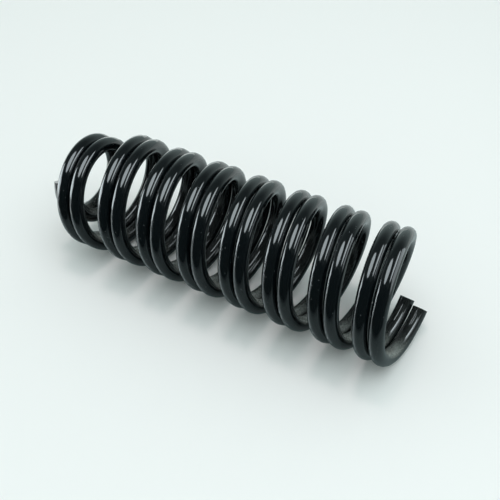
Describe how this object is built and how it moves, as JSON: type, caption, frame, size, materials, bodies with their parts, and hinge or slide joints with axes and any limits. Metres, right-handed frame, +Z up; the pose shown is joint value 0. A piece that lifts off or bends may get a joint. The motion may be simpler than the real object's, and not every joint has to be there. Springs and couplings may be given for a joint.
{
  "type": "suspension coil spring",
  "caption": "Gloss black suspension coil spring lying on its side: round wires wound side by side into an open coil, with a small end on one side and plain cut ends.",
  "frame": {"origin": "on the ground under the middle of the spring as it lies on its side", "axes": "+X along the coil's axis from the small end to the plain end, +Z up"},
  "size_m": [0.3548, 0.1168, 0.1168],
  "materials": {
    "black_coating": "gloss"
  },
  "bodies": {
    "root": {"first_wire": "black_coating", "second_wire": "black_coating"}
  },
  "joints": []
}
